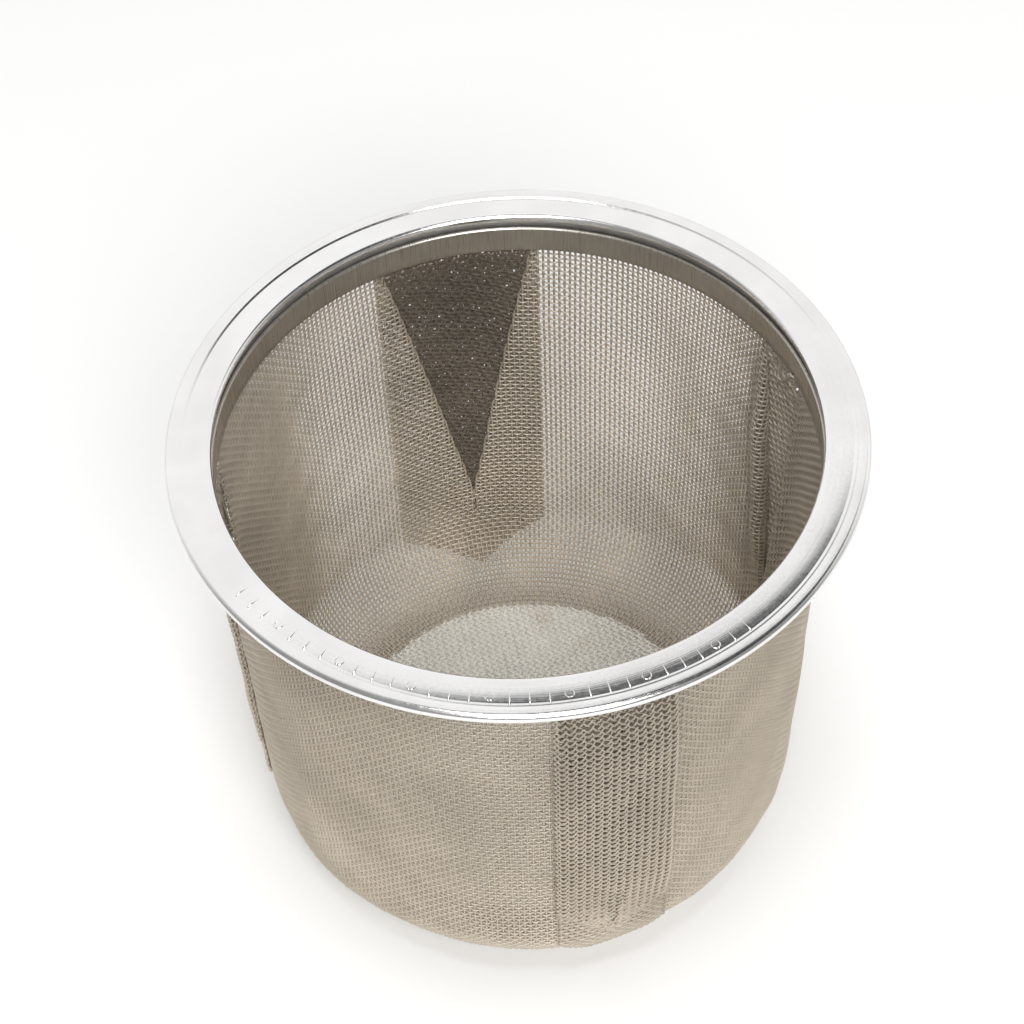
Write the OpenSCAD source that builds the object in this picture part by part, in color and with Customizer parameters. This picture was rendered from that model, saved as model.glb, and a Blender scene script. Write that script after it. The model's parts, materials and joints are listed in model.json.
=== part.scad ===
// Teapot infuser: a pressed steel ring that hangs in a pot's mouth, a hoop pressed into
// the ring's neck, and a basket of fine wire cloth pinched between the two.
// The cloth is one sheet folded up round a flat floor. Its nodes follow its folds: a floor
// with a rounded corner, four wall panels, and the four pleats that take up the spare cloth.

/* [Overall] */
// Height from the underside of the floor to the top of the rim
overall_h = 60; // [45:1:90]
// Diameter of the neck that drops into the pot's mouth
neck_d = 66; // [50:1:90]

/* [Rim ring] */
// Width of the flange outside the neck
flange_w = 4; // [3.2:0.1:8]
// Thickness of the pressed sheet
ring_t = 0.45; // [0.3:0.05:0.55]
// Thickness of the folded hem round the flange
hem_h = 1.2; // [1:0.05:2]
// How far the hem's lower leaf reaches in from the outer edge
hem_w = 1.9; // [1.2:0.1:2.6]
// Radius of the rolled inner lip
lip_r = 0.45; // [0.35:0.05:0.6]
// Wall of the neck
neck_t = 0.35; // [0.2:0.05:0.45]
// Depth of the neck below the rim's top
neck_h = 5.6; // [4.6:0.1:12]
// Distance of the pressed groove from the outer edge
groove_in = 1.35; // [1.1:0.05:1.7]
// Depth of the pressed groove
groove_depth = 0.05; // [0.03:0.01:0.2]

/* [Clamp hoop] */
// Wall of the hoop
hoop_t = 0.25; // [0.15:0.05:0.4]
// Depth of the hoop's beaded top edge below the rim's top
hoop_top = 2.1; // [1.7:0.1:2.6]
// Depth of the hoop's plain lower edge below the rim's top
hoop_bottom = 5.2; // [4.3:0.1:6.5]
// Radius of the bead along the hoop's top edge
bead_r = 0.27; // [0.2:0.01:0.33]

/* [Wire cloth] */
// Thickness of the cloth, two wires deep
cloth_t = 0.5; // [0.3:0.05:0.6]
// Thickness of the cloth where it is pinched between the neck and the hoop
pinched_t = 0.3; // [0.2:0.05:0.4]
// How far the wall leans in between the neck and the floor's corner
wall_lean = 0.9; // [0.5:0.1:4]
// Outer radius of the rounded corner between floor and wall
corner_r = 9.6; // [4:0.1:14]

/* [Pleats] */
// Height above the floor's corner where the panels' edges start to part
gap_above = 2.4; // [1:0.1:10]
// How far a flap reaches behind the panel beside it, at the hoop
flap_margin = 1; // [0.5:0.1:3]
// Height over which a pleat widens from its foot to its full width
foot_h = 6; // [3:0.5:12]
// Direction of the back pleat, in degrees from +X
back_at = 100; // [60:1:145]
// Width of the gap over the back pleat, at the hoop
back_gap = 18.3; // [8:0.1:24]
// Direction of the left pleat
left_at = 183; // [150:1:220]
// Width of the gap over the left pleat, at the hoop
left_gap = 9; // [6:0.1:14]
// Direction of the front pleat
front_at = 286; // [235:1:345]
// Width of the gap over the front pleat, at the hoop
front_gap = 12; // [6:0.1:16]
// Direction of the right pleat
right_at = 22.7; // [0:0.1:50]
// Width of the gap over the right pleat, at the hoop
right_gap = 8.7; // [6:0.1:12]

/* [Hidden] */
$fn = 96;

steel = "gainsboro";
cloth_light = "silver";
cloth_dark = "darkgray";

// Radii, from the neck inwards
neck_r = neck_d / 2;
flange_r = neck_r + flange_w;
wall_r = neck_r - neck_t;
hoop_r = wall_r - pinched_t;
wall_foot_r = wall_r - wall_lean;
floor_r = wall_foot_r - corner_r;

// Heights above the underside of the floor
neck_end = overall_h - neck_h;
hoop_end = overall_h - hoop_bottom;
bead_at = overall_h - hoop_top;
edge_clearance = 0.03;
cloth_end = bead_at - bead_r - edge_clearance;
gap_start = corner_r + gap_above;
// A pleat's pointed foot stands just clear of the floor's corner
foot_clearance = 0.4;
pleat_start = corner_r + foot_clearance;
// The gaps between the panels run up a little way behind the hoop
gap_behind_hoop = 0.33;
vee_end = hoop_end + gap_behind_hoop;

// The tool that presses the groove
groove_tool_r = 0.3;

// How far a cutting prism reaches past the basket's wall
past = 3;

// Degrees to either side of a pleat's middle that its ring is made for, wider than any pleat
pleat_reach = 60;

// ---- Rim ring ----

module rim_profile() {
    difference() {
        union() {
            // Flange sheet, from the lip to the bend of the hem
            translate([wall_r, overall_h - ring_t])
                square([flange_r - hem_h / 2 - wall_r, ring_t]);
            // Bend of the hem and the leaf folded back under the flange
            translate([flange_r - hem_h / 2, overall_h - hem_h / 2])
                circle(d = hem_h);
            translate([flange_r - hem_w, overall_h - hem_h])
                square([hem_w - hem_h / 2, ring_t]);
            // Rolled lip and the neck below it
            translate([neck_r - lip_r, overall_h - lip_r])
                circle(r = lip_r);
            translate([wall_r, neck_end])
                square([neck_t, neck_h - lip_r]);
        }
        // Inside of the hem's bend
        translate([flange_r - hem_h / 2, overall_h - hem_h / 2])
            circle(d = hem_h - 2 * ring_t);
        // Groove pressed into the top
        translate([flange_r - groove_in, overall_h + groove_tool_r - groove_depth])
            circle(r = groove_tool_r);
    }
}

module rim_ring() {
    color(steel)
        rotate_extrude()
            rim_profile();
}

// ---- Clamp hoop ----

module clamp_hoop() {
    color(steel)
        rotate_extrude() {
            translate([hoop_r - hoop_t, hoop_end])
                square([hoop_t, bead_at - hoop_end]);
            translate([wall_r - edge_clearance - bead_r, bead_at])
                circle(r = bead_r);
        }
}

// ---- Wire cloth ----

// Flat floor and the rounded corner up to the wall's foot
module cloth_floor() {
    color(cloth_light)
        rotate_extrude() {
            square([floor_r, cloth_t]);
            translate([floor_r, corner_r])
                intersection() {
                    difference() {
                        circle(r = corner_r);
                        circle(r = corner_r - cloth_t);
                    }
                    translate([0, -corner_r])
                        square([corner_r, corner_r]);
                }
        }
}

// Section of the wall: it leans out from the foot to the neck, then is pinched by the hoop
module wall_profile() {
    polygon([
        [wall_foot_r, corner_r],
        [wall_r, neck_end],
        [wall_r, cloth_end],
        [hoop_r, cloth_end],
        [hoop_r, hoop_end],
        [wall_foot_r - cloth_t, corner_r]
    ]);
}

// Section of a pleat: two layers outside the wall, squeezed together towards the neck
module pleat_profile() {
    polygon([
        [wall_foot_r, corner_r],
        [wall_foot_r + 2 * cloth_t, corner_r],
        [neck_r, neck_end],
        [wall_r, neck_end]
    ]);
}

// A flat shape stood up across the wall at one direction, as a cutting prism
module across_wall(at) {
    rotate([0, 0, at])
        translate([floor_r, 0, 0])
            rotate([90, 0, 90])
                linear_extrude(corner_r + wall_lean + past)
                    children();
}

// The gap between two panels: a V that widens upwards
module vee(at, width) {
    across_wall(at)
        polygon([[0, gap_start], [width / 2, vee_end], [-width / 2, vee_end]]);
}

// Wall between two pleats, with its two fold edges leaning away from the pleats
module cloth_panel(from_at, from_gap, to_at, to_gap) {
    color(cloth_light)
        difference() {
            rotate([0, 0, from_at])
                rotate_extrude(angle = to_at - from_at)
                    wall_profile();
            vee(from_at, from_gap);
            vee(to_at, to_gap);
        }
}

// Flaps folded behind the panels on both sides, with the cloth that crosses between them.
// Their edges stand upright, and they narrow to a point at the foot.
module pleat(at, gap) {
    half = gap / 2 + flap_margin;
    color(cloth_dark)
        intersection() {
            rotate([0, 0, at - pleat_reach])
                rotate_extrude(angle = 2 * pleat_reach)
                    pleat_profile();
            across_wall(at)
                polygon([
                    [0, pleat_start],
                    [half, pleat_start + foot_h],
                    [half, overall_h],
                    [-half, overall_h],
                    [-half, pleat_start + foot_h]
                ]);
        }
}

module cloth_panel_back_left() {
    cloth_panel(back_at, back_gap, left_at, left_gap);
}

module cloth_panel_front_left() {
    cloth_panel(left_at, left_gap, front_at, front_gap);
}

module cloth_panel_front_right() {
    cloth_panel(front_at, front_gap, right_at + 360, right_gap);
}

module cloth_panel_back_right() {
    cloth_panel(right_at, right_gap, back_at, back_gap);
}

module pleat_back() {
    pleat(back_at, back_gap);
}

module pleat_left() {
    pleat(left_at, left_gap);
}

module pleat_front() {
    pleat(front_at, front_gap);
}

module pleat_right() {
    pleat(right_at, right_gap);
}

rim_ring();
clamp_hoop();
cloth_floor();
cloth_panel_back_left();
cloth_panel_front_left();
cloth_panel_front_right();
cloth_panel_back_right();
pleat_back();
pleat_left();
pleat_front();
pleat_right();
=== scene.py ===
"""Looks for the teapot infuser: woven wire cloth, pressed rim ring and clamp hoop.

Lengths are in millimetres up to the point where a mesh is made, and metres from there on.
Directions are in degrees from +X, seen from above.
"""

import json
import math

import bpy
import numpy as np
from mathutils import Matrix, Vector


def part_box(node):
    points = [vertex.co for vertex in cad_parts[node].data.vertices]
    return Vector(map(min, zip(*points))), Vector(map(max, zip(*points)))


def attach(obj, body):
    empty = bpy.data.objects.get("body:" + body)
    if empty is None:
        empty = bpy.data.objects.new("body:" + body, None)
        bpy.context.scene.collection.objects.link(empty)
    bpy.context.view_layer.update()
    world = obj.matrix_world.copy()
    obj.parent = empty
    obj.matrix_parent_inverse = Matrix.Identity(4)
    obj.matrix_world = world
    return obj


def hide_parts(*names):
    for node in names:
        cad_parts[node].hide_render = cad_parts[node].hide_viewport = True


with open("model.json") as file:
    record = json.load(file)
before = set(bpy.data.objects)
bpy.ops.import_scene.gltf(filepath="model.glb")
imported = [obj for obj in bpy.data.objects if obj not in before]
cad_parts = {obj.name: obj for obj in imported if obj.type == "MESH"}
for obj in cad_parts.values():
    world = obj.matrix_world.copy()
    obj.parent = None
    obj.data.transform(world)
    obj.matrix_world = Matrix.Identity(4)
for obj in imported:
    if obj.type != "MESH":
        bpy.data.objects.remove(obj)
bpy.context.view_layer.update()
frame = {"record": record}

MM = 0.001


def box_mm(node):
    low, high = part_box(node)
    return np.array(low) / MM, np.array(high) / MM


def mount(name):
    return next(m for m in frame["record"]["mounts"] if m["name"] == name)


# ---- Sizes that come from the frame ----

RIM_LOW, RIM_HIGH = box_mm("rim_ring")
HOOP_LOW, HOOP_HIGH = box_mm("clamp_hoop")
FLOOR_HIGH = box_mm("cloth_floor")[1]
TOP = RIM_HIGH[2]
FLANGE_R = RIM_HIGH[0]
NECK_R = mount("neck")["dims"]["r_mm"]
NECK_END = RIM_LOW[2]
HOOP_END = HOOP_LOW[2]
HOOP_TOP = HOOP_HIGH[2]
CORNER_R = FLOOR_HIGH[2]
FOOT_R = FLOOR_HIGH[0]
FLOOR_R = FOOT_R - CORNER_R

# ---- Sizes of the ring's section, as in the CAD model ----

RING_T = 0.45
NECK_T = 0.35
HEM_H = 1.2
HEM_W = 1.9
LIP_R = 0.45
GROOVE_IN = 1.35
GROOVE_DEPTH = 0.05
HOOP_T = 0.25
BEAD_R = 0.27
PINCHED_T = 0.3
EDGE_CLEARANCE = 0.03
WALL_R = NECK_R - NECK_T

# ---- Wire cloth ----

# From wire to wire, the wire's radius, and how far it rises and dips at the crossings
PITCH = 0.635
WIRE_R = 0.14
CRIMP = 0.11
# The folded layers' wires are drawn thicker, so that few layers close the view through them
FOLDED_WIRE_R = 0.19
# Height of the middle of the floor's cloth
MID = 0.255
UPRIGHTS = 2 * round(math.pi * WALL_R / PITCH)
TURN = 2 * math.pi / UPRIGHTS
STEP = PITCH / 2
# Direction of the floor's warp
WARP_AT = 54.8
# Thickness of one layer of cloth, and the height where the gaps between the panels start
LAYER = 0.5
GAP_START = 12.0
# How far the floor's straight wires run up into the corner
SEAM = 0.6
# Where the wall's wires end, behind the hoop, and where its loose layers do
WALL_END = HOOP_TOP - 0.8
TURNED_END = HOOP_END + 0.2
INNER_END = HOOP_END + 0.4
OUTER_END = NECK_END - 0.1

# The pleats' bands behind the panels, close to the CAD model's
FLAP_MARGIN = 0.8
PLEAT_FOOT_H = 6.0
# Heights where the flaps and the other layers start
FLAP_START = 1.5
OUTER_START = 8.0

# Each pleat: its direction, then the gap's width to its right and left at the hoop
PLEATS = {
    "pleat_right": (22.7, 4.35, 4.35),
    "pleat_back": (100.5, 8.6, 9.7),
    "pleat_left": (183.0, 4.5, 4.5),
    "pleat_front": (286.0, 6.0, 6.0),
}
# The two narrow pleats at the sides: their inner layers keep the plain cloth colour, without the
# painted shade of the back and front pleats, and are crumpled at the top
SIDE_PLEATS = ("pleat_right", "pleat_left")

# How much wider than a tight fold a fold's bend is, by pleat and side
PLAIN_ROLL = 0.1
ROLLS = {
    ("pleat_right", -1): 0.7,
    ("pleat_right", 1): 0.2,
    ("pleat_left", 1): 0.3,
    ("pleat_back", 1): 0.06,
    ("pleat_back", -1): 0.06,
}
PANELS = {
    "cloth_panel_back_right": ("pleat_right", "pleat_back"),
    "cloth_panel_back_left": ("pleat_back", "pleat_left"),
    "cloth_panel_front_left": ("pleat_left", "pleat_front"),
    "cloth_panel_front_right": ("pleat_front", "pleat_right"),
}


# ---- Camera: the photograph's viewing angle, 48 degrees above the horizon ----

CAMERA_ELEVATION = 48.16
CAMERA_DISTANCE = 250.0
LENS = 83.8
AIM_YAW, AIM_PITCH, AIM_ROLL = -0.197, 2.017, 2.189


def make_camera():
    data = bpy.data.cameras.new("camera")
    data.sensor_width = 36.0
    data.lens = LENS
    data.clip_start, data.clip_end = 0.01, 20.0
    camera = bpy.data.objects.new("camera", data)
    bpy.context.scene.collection.objects.link(camera)
    e = math.radians(CAMERA_ELEVATION)
    back = Vector((0, -math.cos(e), math.sin(e)))
    across = Vector((1, 0, 0))
    turn = Matrix((across, back.cross(across), back))
    lean = Matrix.Rotation(math.radians(AIM_YAW), 3, "Y")
    lean = Matrix.Rotation(math.radians(AIM_PITCH), 3, "X") @ lean
    lean = Matrix.Rotation(math.radians(AIM_ROLL), 3, "Z") @ lean
    camera.rotation_mode = "QUATERNION"
    camera.rotation_quaternion = (lean @ turn).transposed().to_quaternion()
    camera.location = Vector((0, 0, TOP * MM)) + back * CAMERA_DISTANCE * MM
    bpy.context.scene.camera = camera


make_camera()


# ---- Node helpers ----


class Nodes:
    """A material's node tree, with short ways to add and join nodes."""

    def __init__(self, name):
        self.material = bpy.data.materials.new(name)
        self.material.use_nodes = True
        self.tree = self.material.node_tree
        self.shader = self.tree.nodes["Principled BSDF"]

    def add(self, kind, **inputs):
        node = self.tree.nodes.new(kind)
        for key, value in inputs.items():
            self.put(node.inputs[key.replace("_", " ")], value)
        return node

    def put(self, socket, value):
        if isinstance(value, bpy.types.NodeSocket):
            self.tree.links.new(value, socket)
        else:
            socket.default_value = value

    def math(self, operation, *values):
        node = self.tree.nodes.new("ShaderNodeMath")
        node.operation = operation
        for socket, value in zip(node.inputs, values):
            self.put(socket, value)
        return node.outputs[0]

    def noise(self, vector, scale, detail=2.0):
        node = self.add("ShaderNodeTexNoise", Vector=vector, Scale=scale, Detail=detail)
        return node.outputs["Fac"]

    def ramp(self, value, low, high, out_low, out_high):
        node = self.tree.nodes.new("ShaderNodeMapRange")
        for key, number in zip((0, 1, 2, 3, 4), (value, low, high, out_low, out_high)):
            self.put(node.inputs[key], number)
        return node.outputs[0]

    def mix(self, share, first, second):
        node = self.tree.nodes.new("ShaderNodeMix")
        node.data_type = "RGBA"
        self.put(node.inputs["Factor"], share)
        self.put(node.inputs["A"], (*first, 1.0) if isinstance(first, tuple) else first)
        self.put(node.inputs["B"], (*second, 1.0) if isinstance(second, tuple) else second)
        return node.outputs["Result"]

    def bump(self, height, strength, distance):
        node = self.add("ShaderNodeBump", Strength=strength, Distance=distance, Height=height)
        self.put(self.shader.inputs["Normal"], node.outputs[0])

    def place(self):
        return self.add("ShaderNodeTexCoord").outputs["Object"]

    def round_place(self, angle_scale, radius_scale, height_scale):
        """Coordinates that run round the axis, outwards from it and up it."""
        split = self.add("ShaderNodeSeparateXYZ", Vector=self.place())
        x, y, z = split.outputs
        squares = self.math("ADD", self.math("MULTIPLY", x, x), self.math("MULTIPLY", y, y))
        radius = self.math("SQRT", squares)
        join = self.tree.nodes.new("ShaderNodeCombineXYZ")
        for socket, value, scale in (
            (join.inputs[0], self.math("ARCTAN2", y, x), angle_scale),
            (join.inputs[1], radius, radius_scale),
            (join.inputs[2], z, height_scale),
        ):
            self.put(socket, self.math("MULTIPLY", value, scale))
        return join.outputs[0]


TEA_STAIN = (0.55, 0.43, 0.31)
SHADE = (0.20, 0.175, 0.14)
SHADE_LOW, SHADE_HIGH, SHADE_SHARE = 12.0, 50.0, 0.27


def wire_material(name, dark, light, roughness, stained=False):
    """Drawn stainless wire: warm grey, patches of tone, die marks and, if asked, tea stains."""
    n = Nodes(name)
    patches = n.noise(n.place(), 90.0, 3.0)
    specks = n.noise(n.place(), 900.0, 2.0)
    mixed = n.math("ADD", n.math("MULTIPLY", patches, 0.7), n.math("MULTIPLY", specks, 0.3))
    colour = n.mix(n.ramp(mixed, 0.35, 0.65, 0.0, 1.0), dark, light)
    if stained:
        spots = n.ramp(n.noise(n.place(), 70.0, 4.0), 0.56, 0.72, 0.0, 0.6)
        colour = n.mix(spots, colour, TEA_STAIN)
    # Darker towards the top, in place of the light that a white pot throws on the lower wall
    height = n.add("ShaderNodeSeparateXYZ", Vector=n.place()).outputs[2]
    shade = n.ramp(height, SHADE_LOW * MM, SHADE_HIGH * MM, 0.0, SHADE_SHARE)
    n.put(n.shader.inputs["Base Color"], n.mix(shade, colour, SHADE))
    n.shader.inputs["Metallic"].default_value = 1.0
    dullness = n.ramp(specks, 0.3, 0.7, roughness - 0.06, roughness + 0.08)
    n.put(n.shader.inputs["Roughness"], dullness)
    n.bump(specks, 0.15, 0.00002)
    return n.material


def ring_material():
    """Pressed bright stainless: turned lines round the ring, soft waviness and fine scratches."""
    n = Nodes("pressed_steel")
    lines = n.noise(n.round_place(1.5, 9000.0, 9000.0), 1.0, 3.0)
    waves = n.noise(n.place(), 160.0, 2.0)
    grain = n.noise(n.place(), 2500.0, 2.0)
    tone = n.mix(n.ramp(waves, 0.3, 0.7, 0.0, 1.0), (0.80, 0.79, 0.785), (0.87, 0.862, 0.858))
    n.put(n.shader.inputs["Base Color"], tone)
    n.shader.inputs["Metallic"].default_value = 1.0
    gloss = n.ramp(n.math("ADD", lines, grain), 0.6, 1.4, 0.10, 0.24)
    # The neck below the rolled lip was never polished
    height = n.add("ShaderNodeSeparateXYZ", Vector=n.place()).outputs[2]
    dull = n.ramp(height, (TOP - 1.0) * MM, (TOP - 0.55) * MM, 0.28, 0.0)
    n.put(n.shader.inputs["Roughness"], n.math("ADD", gloss, dull))
    broad = n.math("ADD", n.math("MULTIPLY", grain, 0.35), n.math("MULTIPLY", waves, 2.0))
    n.bump(n.math("ADD", n.math("MULTIPLY", lines, 0.5), broad), 0.25, 0.00003)
    return n.material


def hoop_material():
    """Rolled strip: satin, with short upright marks from the pressing tool."""
    n = Nodes("satin_strip")
    marks = n.noise(n.round_place(420.0, 1.0, 60.0), 1.0, 3.0)
    waves = n.noise(n.place(), 110.0, 2.0)
    mixed = n.math("ADD", n.math("MULTIPLY", marks, 0.5), n.math("MULTIPLY", waves, 0.5))
    share = n.ramp(mixed, 0.35, 0.65, 0.0, 1.0)
    # Darker than the ring's steel: partly the strip's own satin tone, partly painted shade standing
    # for the dark inside of the basket that it faces
    n.put(n.shader.inputs["Base Color"], n.mix(share, (0.40, 0.375, 0.335), (0.52, 0.49, 0.445)))
    n.shader.inputs["Metallic"].default_value = 1.0
    n.put(n.shader.inputs["Roughness"], n.ramp(marks, 0.3, 0.7, 0.24, 0.38))
    n.bump(marks, 0.2, 0.00003)
    return n.material


# ---- Mesh helpers ----


def link_mesh(name, points, quads, material, smooth=True):
    """A mesh object from points in millimetres and four-cornered faces."""
    mesh = bpy.data.meshes.new(name)
    points = np.asarray(points, np.float32) * MM
    quads = np.asarray(quads, np.int32)
    mesh.vertices.add(len(points))
    mesh.vertices.foreach_set("co", points.ravel())
    mesh.loops.add(quads.size)
    mesh.loops.foreach_set("vertex_index", quads.ravel())
    mesh.polygons.add(len(quads))
    mesh.polygons.foreach_set("loop_start", np.arange(0, quads.size, 4, dtype=np.int32))
    mesh.polygons.foreach_set("loop_total", np.full(len(quads), 4, np.int32))
    mesh.polygons.foreach_set("use_smooth", np.full(len(quads), smooth))
    mesh.update(calc_edges=True)
    mesh.materials.append(material)
    piece = bpy.data.objects.new(name, mesh)
    bpy.context.scene.collection.objects.link(piece)
    return piece


SIDES = 4


def tubes(paths, radius):
    """Points and faces of closed wires along paths of (points, normals)."""
    all_points, all_quads, start = [], [], 0
    turn = np.arange(SIDES) * 2 * math.pi / SIDES
    cos, sin = np.cos(turn)[None, :, None], np.sin(turn)[None, :, None]
    cap = np.arange(SIDES)
    for points, normals in paths:
        count = len(points)
        tangent = np.gradient(points, axis=0)
        tangent /= np.linalg.norm(tangent, axis=1)[:, None]
        side = np.cross(tangent, normals)
        side /= np.linalg.norm(side, axis=1)[:, None]
        up = np.cross(side, tangent)
        ring = cos * up[:, None] + sin * side[:, None]
        all_points.append((points[:, None] + radius * ring).reshape(-1, 3))
        at = start + np.arange(count - 1)[:, None] * SIDES
        here, following = at + cap, at + (cap + 1) % SIDES
        quads = np.stack([here, here + SIDES, following + SIDES, following], axis=2).reshape(-1, 4)
        last = start + (count - 1) * SIDES
        all_quads += [quads, [start + cap], [last + cap[::-1]]]
        start += count * SIDES
    return np.concatenate(all_points), np.concatenate(all_quads)


def runs(keep):
    """Slices of each unbroken stretch of at least three kept points."""
    edges = np.flatnonzero(np.diff(np.concatenate([[0], keep.astype(np.int8), [0]])))
    return [slice(a, b) for a, b in zip(edges[::2], edges[1::2]) if b - a >= 3]


# ---- The surface that the cloth follows ----

ARC_R = CORNER_R - MID
ARC = ARC_R * math.pi / 2
FOOT_S = FLOOR_R + ARC
TOP_MID_R = WALL_R - PINCHED_T / 2
LEAN = (TOP_MID_R - (FOOT_R - MID)) / (HOOP_END - CORNER_R)


def section(s):
    """Radius, height and outward normal at a distance s from the floor's centre."""
    s = np.asarray(s, float)
    turn = np.clip((s - FLOOR_R) / ARC_R, 0, math.pi / 2)
    rise = np.maximum(s - FOOT_S, 0)
    lean = np.minimum(rise, HOOP_END - CORNER_R) * LEAN
    radius = np.minimum(s, FLOOR_R) + ARC_R * np.sin(turn) + lean
    height = MID + ARC_R * (1 - np.cos(turn)) + rise
    return radius, height, np.sin(turn), -np.cos(turn)


class Waves:
    """Smooth unevenness: a sum of waves in random directions, mostly between -1 and 1."""

    def __init__(self, seed, length, count=7):
        draw = np.random.default_rng(seed)
        self.direction = draw.normal(size=(count, 3))
        self.direction *= (2 * math.pi / length / np.linalg.norm(self.direction, axis=1))[:, None]
        self.phase = draw.uniform(0, 2 * math.pi, count)

    def __call__(self, points):
        waves = np.sin(points @ self.direction.T + self.phase)
        return waves.sum(axis=1) / math.sqrt(len(self.phase))


SLOW = Waves(3, 17.0)
QUICK = Waves(5, 4.5)
SHIFT_A = Waves(8, 6.0)
SHIFT_B = Waves(9, 6.0)
CRUMPLE = Waves(11, 2.1)
CRUMPLE_TWIST = Waves(12, 1.6)

# Depths of the slow and the quick unevenness
SLOW_DEPTH, QUICK_DEPTH = 0.14, 0.035

# Heights where the wall's flutes and swellings begin and where they are full
RISE_LOW, RISE_HIGH = 4.0, 24.0

# Height below the hoop over which the wall's unevenness dies away
CALM = 12.0

# Soft upright flutes in the wall: how many round the basket, phase in degrees, and depth
FLUTES = ((5, 40.0, 0.20), (9, 200.0, 0.22), (14, 95.0, 0.10))

# How far threads wander sideways from an even weave
WANDER = 0.03

# Small dents above the floor's corner: direction, distance from the floor's centre, depth
DENTS = ((104.5, 31.0, 0.45), (88.0, 33.5, 0.5), (96.0, 29.0, 0.2))
DENT_R = 1.1
DENT_STRETCH = 1.8

# Broad swellings into the basket: direction, half width in degrees, depth
SWELLS = (
    (124.0, 8.0, 0.75),
    (71.0, 9.0, 0.5),
    (150.0, 7.0, 0.35),
    (48.0, 6.0, 0.3),
    (250.0, 9.0, 0.5),
    (330.0, 8.0, 0.4),
)


def turn_from(angle, at):
    """Each angle's turn from a direction in degrees, in radians from -pi to pi."""
    return (angle - math.radians(at) + math.pi) % (2 * math.pi) - math.pi


def unevenness(angle, s, flat):
    """Outward offset of the cloth from its plain shape."""
    waves = SLOW_DEPTH * SLOW(flat) + QUICK_DEPTH * QUICK(flat)
    rise = np.clip((flat[:, 2] - RISE_LOW) / (RISE_HIGH - RISE_LOW), 0, 1)
    for count, phase, depth in FLUTES:
        waves = waves + depth * rise * np.cos(count * angle + math.radians(phase))
    for at, width, depth in SWELLS:
        waves = waves - depth * rise * np.exp(-((turn_from(angle, at) / math.radians(width)) ** 2))
    for at, place, depth in DENTS:
        apart = (turn_from(angle, at) * WALL_R) ** 2 + ((s - place) / DENT_STRETCH) ** 2
        waves = waves - depth * np.exp(-apart / DENT_R**2)
    # Nothing bulges below the floor
    return np.minimum(waves, (flat[:, 2] - MID) * 0.5)


def on_wall(angle, s, lift, crumple=0.0):
    """Points and outward normals on the basket, lifted outwards from the middle of the cloth."""
    angle = np.asarray(angle, float)
    radius, height, out, up = section(s)
    radius = np.broadcast_to(radius, angle.shape)
    height = np.broadcast_to(height, angle.shape)
    flat = np.stack([radius * np.cos(angle), radius * np.sin(angle), height], axis=1)
    quiet = np.clip((HOOP_END - flat[:, 2]) / CALM, 0, 1)
    off_floor = np.clip((flat[:, 2] - MID) / CORNER_R, 0, 1)
    lift = lift + quiet * unevenness(angle, s, flat) + crumple * CRUMPLE(flat)
    sideways = quiet * WANDER * SHIFT_A(flat) + crumple * 0.5 * CRUMPLE_TWIST(flat)
    angle = angle + sideways / WALL_R
    height = flat[:, 2] + quiet * off_floor * WANDER * SHIFT_B(flat)
    cos, sin, up = np.cos(angle), np.sin(angle), np.broadcast_to(up, angle.shape)
    normals = np.stack([out * cos, out * sin, up], axis=1)
    points = np.stack([radius * cos, radius * sin, height], axis=1)
    return points + normals * np.asarray(lift)[:, None], normals


# ---- Folds ----

# How far back from a fold the panel has returned to the wall's plain shape
PUSH_REACH = 1.4

# Length over which a fold's roll grows to its full width
ROLL_GROWTH = 14

# How far past its last pleat a panel's wires are followed
TURN_BACK = 12.0


class Fold:
    """The leaning edge where a panel turns back behind itself, in the plane of the unrolled wall.

    side is +1 where the panel lies clockwise of the pleat, so that the cloth turns back
    at growing angles, and -1 on the other side.
    """

    def __init__(self, pleat, side):
        at, right, left = PLEATS[pleat]
        self.tip = np.array([math.radians(at) * WALL_R, GAP_START])
        width = right if side > 0 else left
        along = np.array([-side * width, HOOP_END - GAP_START])
        self.along = along / np.linalg.norm(along)
        self.out = np.array([side * self.along[1], -side * self.along[0]])
        self.roll = ROLLS.get((pleat, side), PLAIN_ROLL)

    def radius(self, z):
        """The bend's radius, which grows away from the neck and the fold's tip."""
        below_hoop = np.clip((HOOP_END - z) / ROLL_GROWTH, 0, 1)
        above_tip = np.clip((z - GAP_START) / ROLL_GROWTH, 0, 1)
        return LAYER / 2 + self.roll * below_hoop * above_tip

    def push(self, past, z):
        """How far the panel stands in from the wall beside the fold, to make room for the bend."""
        return (2 * self.radius(z) - LAYER) * np.exp(-((np.minimum(past, 0) / PUSH_REACH) ** 2))

    def past(self, a, z):
        """How far each point lies past the fold, and how far up along it."""
        from_tip = np.stack([a, z], axis=1) - self.tip
        return from_tip @ self.out, from_tip @ self.along

    def turned(self, a, z, past, radius):
        """Where a point past the fold ends up: its place on the wall and its outward offset."""
        bend = math.pi * radius
        round_it = past < bend
        turn = np.where(round_it, past / radius, math.pi)
        back = np.where(round_it, radius * np.sin(turn), -(past - bend))
        shift = (back - past)[:, None] * self.out
        return a + shift[:, 0], z + shift[:, 1], radius * (1 - np.cos(turn))


# Where the layers start to close up below the neck, and how near they come to it in the end
SQUEEZE_LOW, SQUEEZE_HIGH, SQUEEZED = NECK_END - 8.0, NECK_END + 1.0, 0.12


def squeeze(z):
    """Layers lie closer together towards the neck."""
    return np.clip((SQUEEZE_HIGH - z) / (SQUEEZE_HIGH - SQUEEZE_LOW), SQUEEZED, 1.0)


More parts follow.
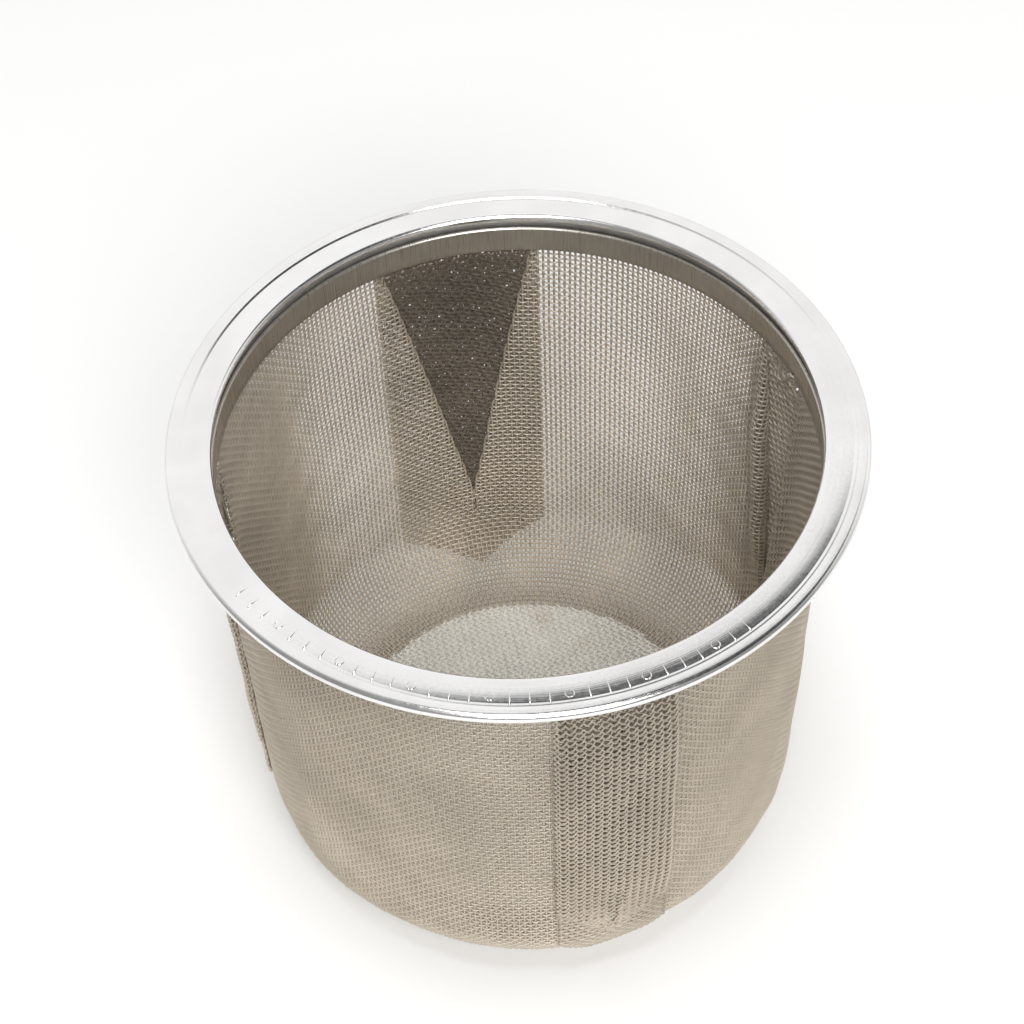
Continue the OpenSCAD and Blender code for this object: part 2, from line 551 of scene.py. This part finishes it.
def wall_wires(panel, upright):
    """Paths of one family of a panel's wires, up to where they have turned back round its folds."""
    low_name, high_name = PANELS[panel]
    low, high = math.radians(PLEATS[low_name][0]), math.radians(PLEATS[high_name][0])
    if high < low:
        high += 2 * math.pi
    folds = (Fold(low_name, -1), Fold(high_name, +1))
    if folds[1].tip[0] < folds[0].tip[0]:
        folds[1].tip[0] += 2 * math.pi * WALL_R
    reach = TURN_BACK / WALL_R
    first, last = math.ceil((low - reach) / TURN), math.floor((high + reach) / TURN)
    if upright:
        z = np.arange(CORNER_R, WALL_END, STEP)
        lines = [(np.full(len(z), i * TURN), z, i) for i in range(first, last + 1)]
    else:
        angle = np.arange(2 * first, 2 * last + 1) * TURN / 2
        rings = range(math.ceil(CORNER_R / PITCH), math.floor(WALL_END / PITCH) + 1)
        lines = [(angle, np.full(len(angle), j * PITCH), j) for j in rings]
    paths = []
    for angle, z, index in lines:
        if upright:
            wave = np.cos(math.pi * (z / PITCH + index))
        else:
            wave = -np.cos(math.pi * (angle / TURN + index))
        a = angle * WALL_R
        place_a, place_z, offset = a.copy(), z.copy(), np.zeros(len(a))
        sign, push = np.ones(len(a)), np.zeros(len(a))
        inside = (angle >= low) & (angle <= high)
        for fold in folds:
            past, along = fold.past(a, z)
            bend_r = fold.radius(z)
            near = (past > -TURN_BACK) & (along > 0)
            push[near] = np.maximum(push[near], fold.push(past[near], z[near]))
            over = (past > 0) & (z > GAP_START)
            inside &= ~over
            over &= past < math.pi * bend_r + STEP
            to_a, to_z, out = fold.turned(a, z, past, bend_r)
            place_a[over], place_z[over], offset[over] = to_a[over], to_z[over], out[over]
            sign[over] = np.cos(np.minimum(past[over] / bend_r[over], math.pi))
            inside |= over & (to_z < TURNED_END)
        lift = offset * squeeze(place_z) - push + CRIMP * wave * sign
        s = FOOT_S + place_z - CORNER_R
        points, normals = on_wall(place_a / WALL_R, s, lift)
        paths += [(points[r], normals[r]) for r in runs(inside)]
    return paths


def pleat_places(pleat, u, z, start, end):
    """How far points lie inside a pleat's band, and how far inside the gap in front of it."""
    at, right, left = PLEATS[pleat]
    width = np.where(u > 0, left, right)
    half = width + FLAP_MARGIN
    foot = (z - start - PLEAT_FOOT_H * np.abs(u) / half) * half / np.hypot(half, PLEAT_FOOT_H)
    band = np.minimum(np.minimum(half - np.abs(u), foot), end - z)
    gap = width * (z - GAP_START) / (HOOP_END - GAP_START) - np.abs(u)
    return band, gap


# How a layer that runs with the wall's own wires is set, in pitches, so that it fills their gaps
FILL_UP = 0.13

# How many layers out from the panel the outside of a pleat lies
OUTERMOST = 2


def pleat_wires(pleat, crossing, layer, start, lean, crumple, keep):
    """Paths of one family of wires in one folded layer of a pleat, leaning by some degrees."""
    at = math.radians(PLEATS[pleat][0])
    nearest = (round(at / TURN) * TURN - at) * WALL_R
    t = math.radians(lean)
    along, across = (math.cos(t), math.sin(t)), (-math.sin(t), math.cos(t))
    if not crossing:
        along, across = across, along
    end = OUTER_END if layer == OUTERMOST else INNER_END
    # Enough wires to cover the band at any lean
    reach = int(1.3 * (end - start) / PITCH)
    run = np.arange(-2 * reach, 2 * reach + 1) * STEP
    middle = PITCH * (round((end + start) / 2 / PITCH) + (FILL_UP - 0.5 if crossing else 0))
    paths = []
    for i in range(-reach, reach + 1):
        offset = (i + 0.5) * PITCH
        u = nearest + offset * across[0] + run * along[0]
        z = middle + offset * across[1] + run * along[1]
        band, gap = pleat_places(pleat, u, z, start, end)
        wave = np.cos(math.pi * (run / PITCH - 0.5 + i)) * (1 if crossing else -1)
        # A layer comes in to the panel round the band's edge, and at the pleat's foot
        edge = np.clip(band / (2 * LAYER), 0, 1)
        fold = np.sqrt(edge * (2 - edge))
        depth = 1 + (layer - 1) * fold * np.clip((z - start - 2) / 10, 0.1, 1)
        lift = LAYER * depth * squeeze(z) + CRIMP * wave
        flat = crumple * np.clip(gap / 2.0, 0.15, 1)
        if pleat in SIDE_PLEATS:
            flat *= 0.4 + 4 * np.clip((z - NECK_END + 6) / 6, 0, 1)
        points, normals = on_wall(at + u / WALL_R, FOOT_S + z - CORNER_R, lift, flat)
        paths += [(points[r], normals[r]) for r in runs(keep(band, gap))]
    return paths


def corner_wires(upright):
    """Paths of the rounded corner's wires: they carry the wall's wires down to the floor."""
    start = FLOOR_R + SEAM
    paths = []
    if upright:
        z_like = np.arange(start - FOOT_S + CORNER_R, CORNER_R + STEP / 2, STEP)
        for i in range(UPRIGHTS):
            wave = np.cos(math.pi * (z_like / PITCH + i))
            angle = np.full(len(z_like), i * TURN)
            paths.append(on_wall(angle, FOOT_S + z_like - CORNER_R, CRIMP * wave))
        return paths
    for j in range(math.ceil((start - FOOT_S + CORNER_R) / PITCH), math.ceil(CORNER_R / PITCH)):
        angle = np.arange(2 * UPRIGHTS + 1) * TURN / 2
        wave = -np.cos(math.pi * (angle / TURN + j))
        place = np.full(len(angle), FOOT_S + j * PITCH - CORNER_R)
        paths.append(on_wall(angle, place, CRIMP * wave))
    return paths


def floor_wires(along_warp):
    """Paths of the flat floor's wires, straight across it and just up into the corner."""
    reach = FLOOR_R + SEAM
    paths = []
    count = int(reach / PITCH) + 1
    for i in range(-count, count + 1):
        across = (i + 0.5) * PITCH
        along = np.arange(1 - 2 * count, 2 * count + 2) * STEP
        side = np.full(len(along), across)
        x, y = (along, side) if along_warp else (side, along)
        s = np.hypot(x, y)
        wave = np.cos(math.pi * (along / PITCH - 0.5 + i)) * (1 if along_warp else -1)
        angle = np.arctan2(y, x) + math.radians(WARP_AT)
        points, normals = on_wall(angle, s, CRIMP * wave)
        paths += [(points[r], normals[r]) for r in runs(s < reach)]
    return paths


def behind_panels(band, gap):
    return (band > EDGE) & (gap < EDGE)


def across_gap(band, gap):
    return (band > EDGE) & (gap > -GAP_OVERLAP)


def whole_band(band, gap):
    return band > 0


# How far the inner layers' wires end from the band's edge, and how far they pass the gap's
EDGE = 0.1
GAP_OVERLAP = 0.5

# A pleat's layers: distance out in layers, start, lean in degrees, crumple, wire, extent
LAYERS = {
    "flaps": (1, FLAP_START, 0.0, 0.0, FOLDED_WIRE_R, behind_panels),
    "inner_layer": (1, OUTER_START, 21.0, 0.10, FOLDED_WIRE_R, across_gap),
    "middle_layer": (1.5, OUTER_START, -24.0, 0.07, FOLDED_WIRE_R, across_gap),
    "outer_layer": (OUTERMOST, OUTER_START, 45.0, 0.05, WIRE_R, whole_band),
}


def make_cloth():
    clean = wire_material("wire_cloth", (0.57, 0.515, 0.435), (0.70, 0.635, 0.545), 0.7)
    # Painted shade: the same cloth made darker for the flaps behind the panels, where the doubled
    # layers let less light through
    lapped_shaded = wire_material("wire_cloth_lapped_painted_shade", (0.50, 0.45, 0.38), (0.61, 0.55, 0.47), 0.7)
    # Painted shade: the same cloth made much darker for the inner layers of the back and front
    # pleats, standing in for the shade deep inside the folds
    shaded = wire_material("wire_cloth_folded_painted_shade", (0.19, 0.165, 0.135), (0.28, 0.245, 0.20), 0.8)
    # Painted light: the same cloth made much lighter for the floor, standing in for the light that
    # falls on it from above; its spots are real tea stains
    lit_floor_wire = wire_material("wire_cloth_floor_painted_light", (0.86, 0.84, 0.79), (0.97, 0.95, 0.90), 0.7, True)

    def piece(name, paths, material, node, radius=WIRE_R):
        made = link_mesh(name, *tubes(paths, radius), material)
        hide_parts(node)
        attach(made, "root")

    for name in PANELS:
        piece(f"{name}_uprights", wall_wires(name, True), clean, name)
        piece(f"{name}_rings", wall_wires(name, False), clean, name)
    # The flaps get the painted-shade copy for doubled cloth, the inner and middle layers the dark
    # painted-shade copy, and the outer layer the plain colour
    looks = {"flaps": lapped_shaded, "inner_layer": shaded, "middle_layer": shaded, "outer_layer": clean}
    for name in PLEATS:
        for word, (layer, start, lean, crumple, radius, keep) in LAYERS.items():
            # The side pleats' layers all keep the plain colour, with no painted shade
            material = clean if name in SIDE_PLEATS else looks[word]
            for crossing, family in ((True, "weft"), (False, "warp")):
                paths = pleat_wires(name, crossing, layer, start, lean, crumple, keep)
                piece(f"{name}_{word}_{family}", paths, material, name, radius)
    for along, word in ((True, "warp"), (False, "weft")):
        piece(f"cloth_floor_{word}", floor_wires(along), lit_floor_wire, "cloth_floor")
    for upright, word in ((True, "uprights"), (False, "rings")):
        piece(f"cloth_floor_corner_{word}", corner_wires(upright), clean, "cloth_floor")


# ---- Rim ring and hoop ----


def arc(centre, radius, start, end, count):
    turn = np.radians(np.linspace(start, end, count))
    return [(centre[0] + radius * math.cos(t), centre[1] + radius * math.sin(t)) for t in turn]


def revolve(outline, count):
    """Points and faces of a closed section turned round the axis."""
    outline = np.asarray(outline, float)
    turn = np.arange(count) * 2 * math.pi / count
    points = np.stack(
        [
            outline[None, :, 0] * np.cos(turn)[:, None],
            outline[None, :, 0] * np.sin(turn)[:, None],
            np.broadcast_to(outline[None, :, 1], (count, len(outline))),
        ],
        axis=2,
    ).reshape(-1, 3)
    here = np.arange(count)[:, None] * len(outline)
    beside = (here + len(outline)) % (count * len(outline))
    step = np.arange(len(outline))[None]
    following = (step + 1) % len(outline)
    corners = [here + step, beside + step, beside + following, here + following]
    return points, np.stack(corners, axis=2).reshape(-1, 4)


# How far the flange's dome falls from the lip to the groove, and the groove's half width
CROWN = 0.16
GROOVE_HALF = 0.34


def rim_outline():
    """The ring's section, counter-clockwise: neck, lip, domed flange, groove, hem."""
    lip = (NECK_R - LIP_R, TOP - LIP_R)
    hem = (FLANGE_R - HEM_H / 2, TOP - HEM_H / 2)
    groove = FLANGE_R - GROOVE_IN
    inner = lip[0] + 0.1
    width = groove - GROOVE_HALF - inner
    under, leaf_end, leaf_under = TOP - RING_T, FLANGE_R - HEM_W, TOP - HEM_H
    # The neck, with its lower edge broken
    outline = [(WALL_R, NECK_END + 0.05), (WALL_R + 0.05, NECK_END)]
    outline += [(NECK_R - 0.05, NECK_END), (NECK_R, NECK_END + 0.05)]
    # The bend into the flange's underside
    outline += [(NECK_R, under - 0.35), (NECK_R + 0.1, under - 0.1), (NECK_R + 0.35, under)]
    outline += [(leaf_end - 0.05, under)]
    # The hem's lower leaf, with a rounded end, and its bend
    outline += [(leaf_end, leaf_under + RING_T), (leaf_end - 0.06, leaf_under + RING_T / 2)]
    outline += [(leaf_end, leaf_under + 0.03), (leaf_end + 0.08, leaf_under)]
    outline += arc(hem, HEM_H / 2, -90, 90, 18)
    outline += [(groove + GROOVE_HALF, TOP - 0.005)]
    for share in np.linspace(0.75, -0.75, 7):
        dip = GROOVE_DEPTH * 0.6 * math.cos(share * math.pi / 2) ** 2
        outline += [(groove + GROOVE_HALF * share, TOP - dip)]
    for share in np.linspace(1, 0, 16):
        fall = CROWN * share**3
        outline += [(inner + width * share, TOP - fall)]
    outline += arc(lip, LIP_R, 95, 270, 14)
    outline += [(WALL_R, TOP - 2 * LIP_R - 0.12)]
    return outline


def hoop_outline():
    inner = WALL_R - PINCHED_T - HOOP_T
    outer = WALL_R - PINCHED_T
    bead = (WALL_R - EDGE_CLEARANCE - BEAD_R, HOOP_TOP - BEAD_R)
    under_bead = bead[1] - BEAD_R
    outline = [(inner, HOOP_END + 0.06), (inner + 0.06, HOOP_END)]
    outline += [(outer, HOOP_END), (outer, under_bead)]
    outline += arc(bead, BEAD_R, -70, 200, 14)
    outline += [(inner, under_bead - 0.15), (inner, (HOOP_END + bead[1]) / 2)]
    return outline


# Marks on the flange: wire radius, distance in from the edge, and their sizes
MARK_R = 0.11
MARK_IN = 2.55
MARK_RING_R = 0.45
MARK_TICK_HALF = 0.7
# Where they begin and end, and from one to the next, in degrees
MARK_FIRST, MARK_LAST, MARK_GAP = 216.0, 312.0, 3.2


def marks():
    """Plain raised ticks and rings stamped on the front of the flange, as paths."""
    paths = []
    up = np.array([0.0, 0.0, 1.0])
    radius = FLANGE_R - MARK_IN
    height = TOP - MARK_R

    def on_flange(at, outwards, sideways):
        direction = math.radians(at)
        ray = np.array([math.cos(direction), math.sin(direction), 0])
        along = np.array([-ray[1], ray[0], 0])
        return ray * (radius + outwards) + along * sideways + up * height

    for index, at in enumerate(np.arange(MARK_FIRST, MARK_LAST, MARK_GAP)):
        if index % 4 == 3:
            turn = np.linspace(0, 2 * math.pi, 17)
            ring = [(MARK_RING_R * math.cos(t), MARK_RING_R * math.sin(t)) for t in turn]
            points = [on_flange(at, out, aside) for out, aside in ring]
        else:
            tick = np.linspace(-MARK_TICK_HALF, MARK_TICK_HALF, 5)
            points = [on_flange(at, out, 0) for out in tick]
        paths.append((np.array(points), np.tile(up, (len(points), 1))))
    return paths


RIM_TURNS = 900


def make_ring():
    points, quads = revolve(rim_outline(), RIM_TURNS)
    mark_points, mark_quads = tubes(marks(), MARK_R)
    quads = np.concatenate([quads, mark_quads + len(points)])
    points = np.concatenate([points, mark_points])
    ring = link_mesh("rim_ring_pressed", points, quads, ring_material())
    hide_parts("rim_ring")
    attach(ring, "root")
    hoop = link_mesh("clamp_hoop_rolled", *revolve(hoop_outline(), RIM_TURNS), hoop_material())
    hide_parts("clamp_hoop")
    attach(hoop, "root")


# ---- Floor and light ----


def make_stage():
    n = Nodes("pale_floor")
    tone = n.mix(n.noise(n.place(), 3.0), (0.80, 0.80, 0.79), (0.84, 0.84, 0.83))
    n.put(n.shader.inputs["Base Color"], tone)
    n.shader.inputs["Roughness"].default_value = 0.7
    size = 3000.0
    corners = [(-size, -size, 0), (size, -size, 0), (size, size, 0), (-size, size, 0)]
    floor = link_mesh("stage_floor", corners, [[0, 1, 2, 3]], n.material, False)


def area_light(name, place, aim, size, power):
    data = bpy.data.lights.new(name, "AREA")
    data.shape = "RECTANGLE"
    data.size, data.size_y = size
    data.energy = power
    light = bpy.data.objects.new(name, data)
    bpy.context.scene.collection.objects.link(light)
    light.location = place
    light.rotation_mode = "QUATERNION"
    light.rotation_quaternion = (Vector(aim) - Vector(place)).to_track_quat("-Z", "Y")


def map_range(node, from_low, from_high, to_low, to_high):
    numbers = {"From Min": from_low, "From Max": from_high, "To Min": to_low, "To Max": to_high}
    for key, number in numbers.items():
        node.inputs[key].default_value = number


def make_light():
    world = bpy.data.worlds.new("studio")
    world.use_nodes = True
    tree = world.node_tree
    place = tree.nodes.new("ShaderNodeTexCoord")
    split = tree.nodes.new("ShaderNodeSeparateXYZ")
    tree.links.new(place.outputs["Generated"], split.inputs[0])
    # The dark part overhead reaches further down to the right, as the band along the flange shows
    aside = tree.nodes.new("ShaderNodeMapRange")
    tree.links.new(split.outputs["X"], aside.inputs["Value"])
    map_range(aside, -0.3, 0.45, -0.11, 0.165)
    overhead = tree.nodes.new("ShaderNodeMath")
    overhead.operation = "ADD"
    tree.links.new(split.outputs["Z"], overhead.inputs[0])
    tree.links.new(aside.outputs[0], overhead.inputs[1])
    ramp = tree.nodes.new("ShaderNodeValToRGB")
    tree.links.new(overhead.outputs[0], ramp.inputs[0])
    ramp.color_ramp.elements[0].position = 0.0
    ramp.color_ramp.elements[0].color = (1.0, 1.0, 1.0, 1)
    ramp.color_ramp.elements[1].position = 0.86
    ramp.color_ramp.elements[1].color = (1.0, 1.0, 1.0, 1)
    dark = ramp.color_ramp.elements.new(0.91)
    dark.color = (0.10, 0.10, 0.10, 1)
    # The side that the flange mirrors to the camera is brighter than the rest
    card = tree.nodes.new("ShaderNodeMapRange")
    tree.links.new(split.outputs["Y"], card.inputs["Value"])
    map_range(card, -0.1, 0.45, 0.32, 1.05)
    tree.links.new(ramp.outputs[0], tree.nodes["Background"].inputs["Color"])
    tree.links.new(card.outputs[0], tree.nodes["Background"].inputs["Strength"])
    bpy.context.scene.world = world
    bpy.context.scene.view_settings.view_transform = "Standard"
    area_light("key", (0.12, -0.74, 0.80), (0, 0, 0.03), (0.6, 0.5), 10.4)
    area_light("top", (0.0, -0.12, 1.0), (0, 0, 0.0), (0.3, 0.3), 3.1)


make_stage()
make_light()
make_ring()
make_cloth()
